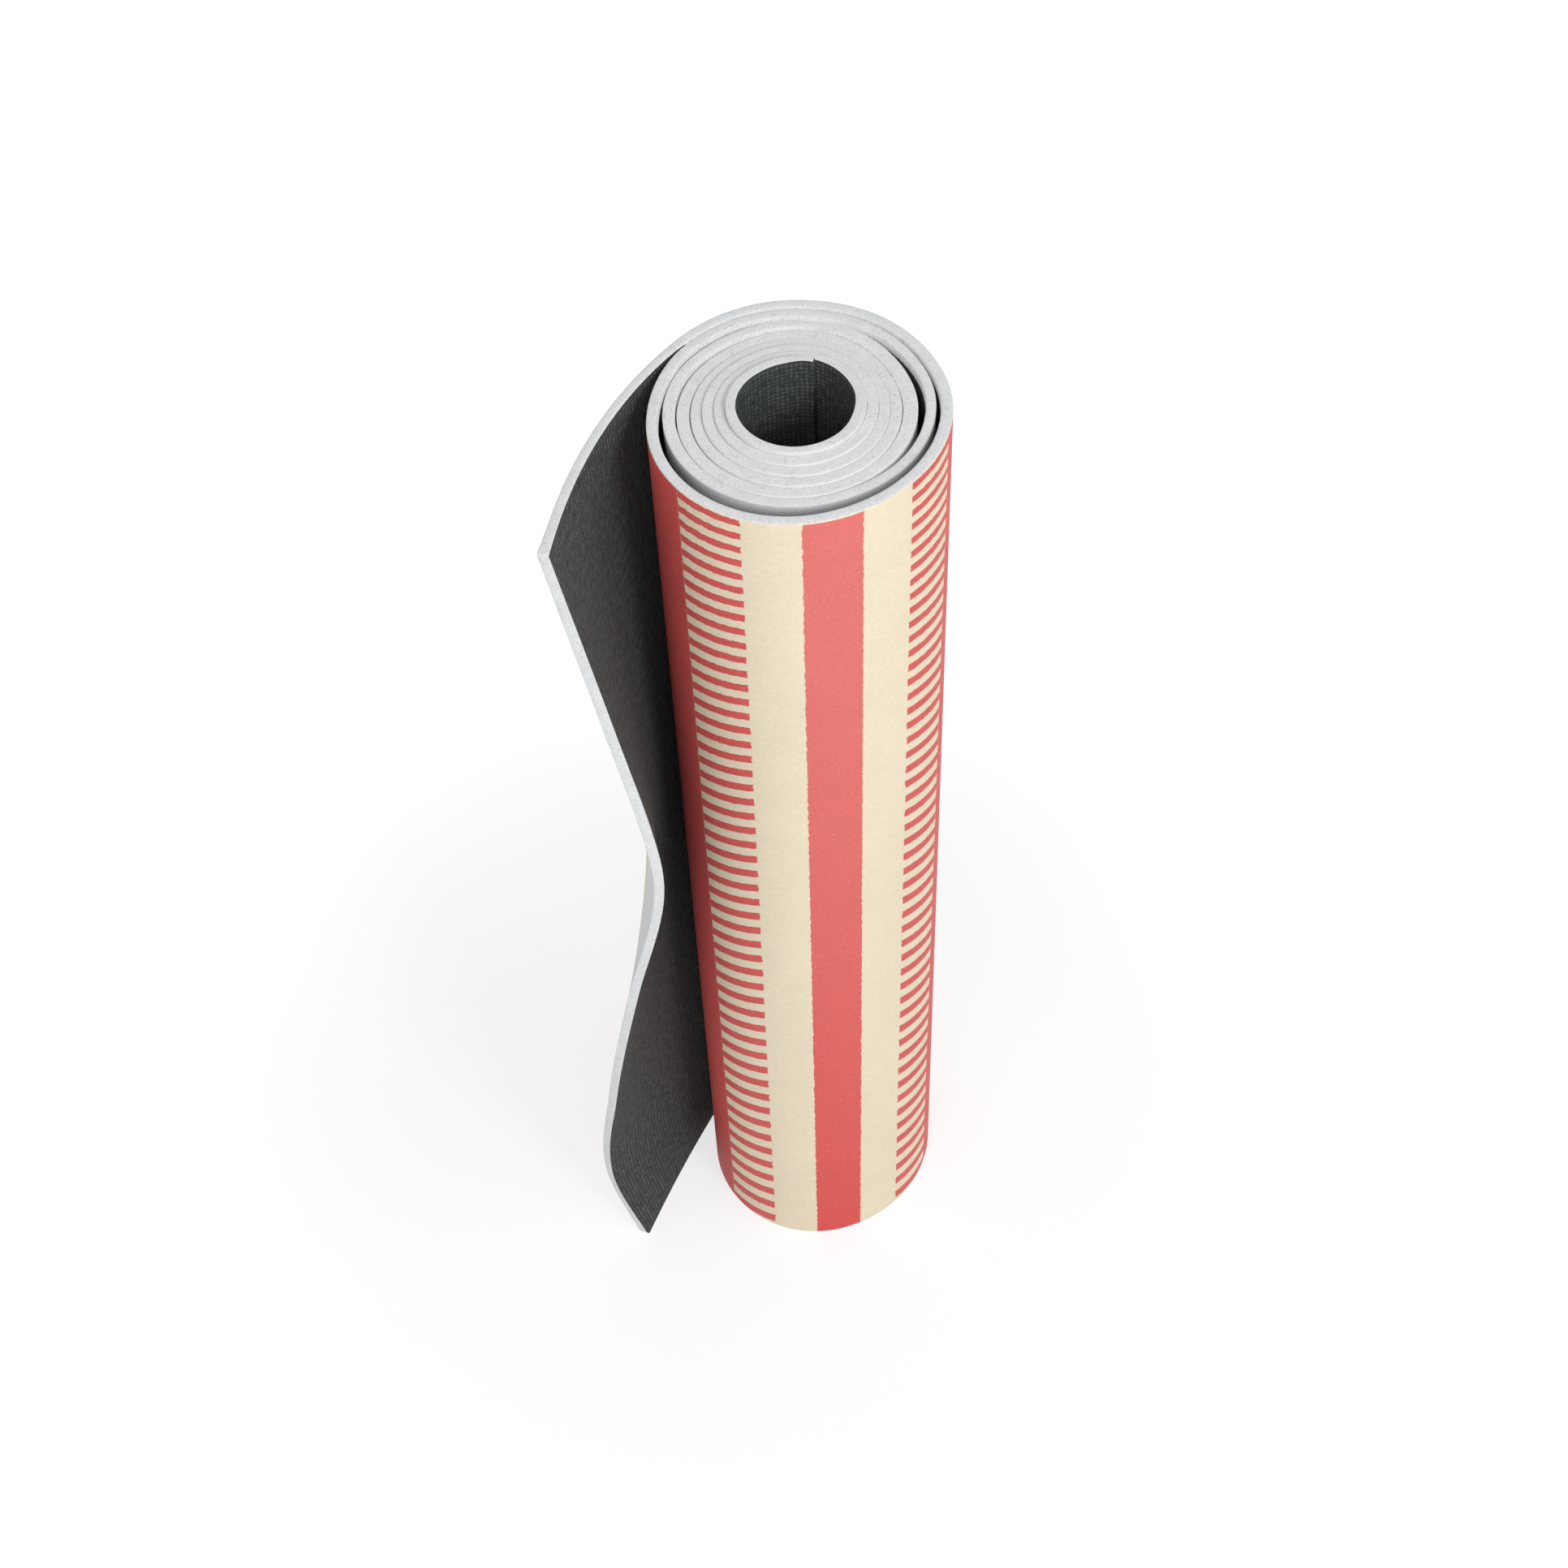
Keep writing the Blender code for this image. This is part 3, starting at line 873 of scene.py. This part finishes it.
def freeLength(height):
    foot, top = sheetSizes["footFree"], sheetSizes["topFree"]
    return foot + (top - foot) * height / sheetSizes["width"]


def swollenDepth(length, height, depth):
    # the sheet's thickness changes at the crease, on its inner side, and near the cut, on its outer
    share = depth / sheetSizes["thickness"]
    crease = max(1 - length / looseSizes["creaseReach"], 0) ** 2
    cut = max(1 - (freeLength(height) - length) / looseSizes["cutReach"], 0) ** 2
    return depth + looseSizes["cutSwell"] * cut * share - rollSizes["Tight Fill"] * crease * (1 - share)


def loosePlace(length, height, depth):
    # a point of the loose end: so far past the peel, so high, so deep in the sheet
    place, heading = spiralEnd()
    share = height / sheetSizes["width"]
    held = looseSizes["footHeld"] * (1 - share)
    onRoll = min(length, held)
    place, heading = advance(place, heading, onRoll, onRoll / spiralPlace(rollSizes["Wound Turns"]).length)
    offRoll = length - onRoll
    reach = offRoll / (freeLength(height) - held)
    curl = math.radians(curlAt(share))
    arcs = looseSizes["curlArcs"]
    for arc in range(arcs):
        start, end = (curledShare(reach * knot / arcs) for knot in (arc, arc + 1))
        place, heading = advance(place, heading, offRoll / arcs, curl * (end - start))
    flat = outward(place, heading, swollenDepth(length, height, depth))
    return Vector((flat.x, flat.y, height)) + axis


def evenSteps(start, end, spacing):
    steps = max(round((end - start) / spacing), 1)
    return [start + (end - start) * step / steps for step in range(steps + 1)]


def finishIndex(share):
    if share > sheetSizes["printDepthShare"]:
        return 2
    return 1 if share < sheetSizes["gripDepthShare"] else 0


def laySheet(name, rings):
    # joins rings of (length, depth, height) into one closed stretch of the sheet, laid on its place
    mesh = bpy.data.meshes.new(name)
    size = len(rings[0])
    faces = []
    for start in range(0, (len(rings) - 1) * size, size):
        for point in range(size):
            after = (point + 1) % size
            faces.append((start + point, start + size + point, start + size + after, start + after))
    end = (len(rings) - 1) * size
    for point in range(size // 2 - 1):
        across = size - 1 - point
        faces.append((point, point + 1, across - 1, across))
        faces.append((end + point, end + across, end + across - 1, end + point + 1))
    flat = [point for ring in rings for point in ring]
    mesh.from_pydata([loosePlace(length, height, depth) for length, depth, height in flat], [], faces)
    for finish in ("foam", "grip", "print"):
        mesh.materials.append(finishes[finish])
    uv = mesh.uv_layers.new(name="sheet")
    for loop in mesh.loops:
        length, depth, height = flat[loop.vertex_index]
        uv.data[loop.index].uv = (length, height)
    depths = mesh.attributes.new("depth", "FLOAT", "POINT")
    for index, (length, depth, height) in enumerate(flat):
        depths.data[index].value = depth / sheetSizes["thickness"]
    for face in mesh.polygons:
        share = sum(depths.data[vertex].value for vertex in face.vertices) / len(face.vertices)
        face.material_index = finishIndex(share)
    mesh.shade_smooth()
    mesh.set_sharp_from_angle(angle=sharpFrom)
    mesh.validate()
    piece = bpy.data.objects.new(name, mesh)
    bpy.context.scene.collection.objects.link(piece)
    return piece


def looseRows():
    first = sheetSizes["firstRow"]
    spaced = evenSteps(first, sheetSizes["width"] - first, sheetSizes["rowSpacing"])
    return [*looseSizes["footRows"], *spaced]


def makeNearSheet():
    rows = looseRows()
    rings = []
    for length in evenSteps(0, looseSizes["bendAt"], looseSizes["columnSpacing"]):
        rings.append([(length, depth, height) for depth, height in section(rows)])
    return laySheet("loose_near_sheet", rings)


def cutPlace(height, past):
    # the cut edge, with its foot corner worn round
    corner = looseSizes["footCorner"]
    up = min(height / corner, 1)
    return freeLength(height) - corner * (1 - math.sqrt(1 - (1 - up) ** 2)) - past


def makeTipSheet():
    rows = looseRows()
    corner, start = sheetSizes["edgeRound"], looseSizes["bendAt"]
    rings = []
    for share in evenSteps(0, 1, looseSizes["columnSpacing"] / (sheetSizes["topFree"] - start)):
        ring = []
        for depth, height in section(rows):
            ring.append((start + (cutPlace(height, corner) - start) * share, depth, height))
        rings.append(ring)
    steps = sheetSizes["edgeSteps"]
    for step in range(1, steps + 1):
        turn = math.pi / 2 * step / steps
        inset = corner * (1 - math.cos(turn))
        past = corner * (1 - math.sin(turn))
        rings.append([(cutPlace(height, past), depth, height) for depth, height in section(rows, inset)])
    return laySheet("loose_tip_sheet", rings)


nearSheet = makeNearSheet()
tipSheet = makeTipSheet()
print("loose end laid:", len(nearSheet.data.polygons) + len(tipSheet.data.polygons), "faces")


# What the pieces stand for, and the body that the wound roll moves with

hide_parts("wound_foam_core", "wound_grip_base", "wound_printed_face")
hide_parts("loose_foam_core", "loose_grip_base", "loose_printed_face")
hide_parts("edge_foam_core", "edge_grip_base", "edge_printed_face")

# the flat length runs along the middle of the sheet's thickness
for attribute in ("turn", "along", "outward"):
    woundRoll.data.attributes.remove(woundRoll.data.attributes[attribute])

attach(woundRoll, "roll")
middle = sheetSizes["width"] / 2
bendAt = looseSizes["bendAt"]
peelTo, bendTo = looseSizes["peelReach"], bendAt + looseSizes["bendReach"]
loosePlace(0, middle, 0)
loosePlace(peelTo, middle, 0)
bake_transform(nearSheet)
loosePlace(bendAt, middle, 0)
loosePlace(bendTo, middle, 0)
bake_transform(tipSheet)


# Floor, light and camera

studio = {
    "floorHalf": 3.0,
    "floorColour": (0.92, 0.93, 0.935, 1),
    "floorWhite": 0.6,  # the share of plain white in the floor's look by the mat, which keeps shadows soft
    "whiteLevel": 1.12,
    "whiteFrom": 0.18,  # further out the floor turns all white
    "whiteTo": 0.60,
    "worldLevel": 0.48,
    "lampTarget": (0.02, 0.0, 0.35),
    # azimuth and elevation in degrees, distance and width in metres, power in watts
    "lamps": {
        "keyLight": (305, 38, 2.0, 0.6, 12.0),
        "rightLight": (340, 50, 2.2, 1.0, 6.0),
        "leftLight": (254, 42, 2.2, 1.5, 11.0),
        "backLight": (95, 22, 2.4, 1.6, 1.2),
    },
}


def whiteToRays(tree):
    # 1 for rays that see the background itself: the camera's, and those through gloss and glass
    rays = addNode(tree, "ShaderNodeLightPath").outputs
    seen = calc(tree, "ADD", rays["Is Camera Ray"], rays["Is Glossy Ray"], clamp=True)
    return calc(tree, "ADD", seen, rays["Is Transmission Ray"], clamp=True)


def makeFloor():
    half = studio["floorHalf"]
    mesh = bpy.data.meshes.new("floor")
    corners = [(-half, -half, 0), (half, -half, 0), (half, half, 0), (-half, half, 0)]
    mesh.from_pydata(corners, [], [(0, 1, 2, 3)])
    floor = bpy.data.objects.new("floor", mesh)
    bpy.context.scene.collection.objects.link(floor)
    material, tree, shader = newFinish("paleFloor", 0.9, 0.0)
    shader.inputs["Base Color"].default_value = studio["floorColour"]
    white = addNode(tree, "ShaderNodeEmission")
    white.inputs["Strength"].default_value = studio["whiteLevel"]
    both = addNode(tree, "ShaderNodeMixShader")
    place = addNode(tree, "ShaderNodeTexCoord").outputs["Object"]
    away = addNode(tree, "ShaderNodeVectorMath", operation="LENGTH")
    feed(tree, away.inputs[0], place)
    start, end = studio["whiteFrom"], studio["whiteTo"]
    share = rampBetween(tree, away.outputs["Value"], start, end, studio["floorWhite"], 1.0, smooth=True)
    feed(tree, both.inputs[0], multiply(tree, whiteToRays(tree), share))
    feed(tree, both.inputs[1], shader.outputs[0])
    feed(tree, both.inputs[2], white.outputs[0])
    feed(tree, tree.nodes["Material Output"].inputs["Surface"], both.outputs[0])
    mesh.materials.append(material)


def makeWorld():
    world = bpy.data.worlds.new("studio")
    bpy.context.scene.world = world
    world.use_nodes = True
    tree = world.node_tree
    back = tree.nodes["Background"]
    back.inputs["Color"].default_value = (1, 1, 1, 1)
    level = studio["worldLevel"]
    feed(tree, back.inputs["Strength"], calc(tree, "MULTIPLY_ADD", whiteToRays(tree), 1 - level, level))


def makeLamp(name, azimuth, elevation, distance, size, power):
    lamp = bpy.data.lights.new(name, "AREA")
    lamp.shape = "DISK"
    lamp.size = size
    lamp.energy = power
    holder = bpy.data.objects.new(name, lamp)
    around, up = math.radians(azimuth), math.radians(elevation)
    level = distance * math.cos(up)
    reach = Vector((level * math.cos(around), level * math.sin(around), distance * math.sin(up)))
    holder.location = Vector(studio["lampTarget"]) + reach
    holder.rotation_euler = (-reach).to_track_quat("-Z", "Y").to_euler()
    bpy.context.scene.collection.objects.link(holder)


view = {
    "place": (0.02538, -0.76958, 1.33316),
    "turn": -0.01122,  # radians to the left of straight back, down from level, and about the line of sight
    "tilt": 0.90166,
    "roll": -0.04554,
    "focalPixels": 3019.15,
    "imagePixels": 1932,
}


def makeCamera():
    turn, tilt, roll = view["turn"], view["tilt"], view["roll"]
    ahead = Vector((math.sin(turn) * math.cos(tilt), math.cos(turn) * math.cos(tilt), -math.sin(tilt)))
    level = Vector((math.cos(turn), -math.sin(turn), 0))
    upright = level.cross(ahead)
    right = math.cos(roll) * level + math.sin(roll) * upright
    up = math.cos(roll) * upright - math.sin(roll) * level
    lens = bpy.data.cameras.new("camera")
    lens.sensor_width = 36
    lens.lens = view["focalPixels"] / view["imagePixels"] * lens.sensor_width
    lens.clip_end = 20
    camera = bpy.data.objects.new("camera", lens)
    facing = Matrix((right, up, -ahead)).transposed().to_4x4()
    camera.matrix_world = Matrix.Translation(view["place"]) @ facing
    bpy.context.scene.collection.objects.link(camera)
    bpy.context.scene.camera = camera


makeFloor()
makeWorld()
for name, setting in studio["lamps"].items():
    makeLamp(name, *setting)
makeCamera()
bpy.context.scene.view_settings.view_transform = "Standard"
print("studio set")
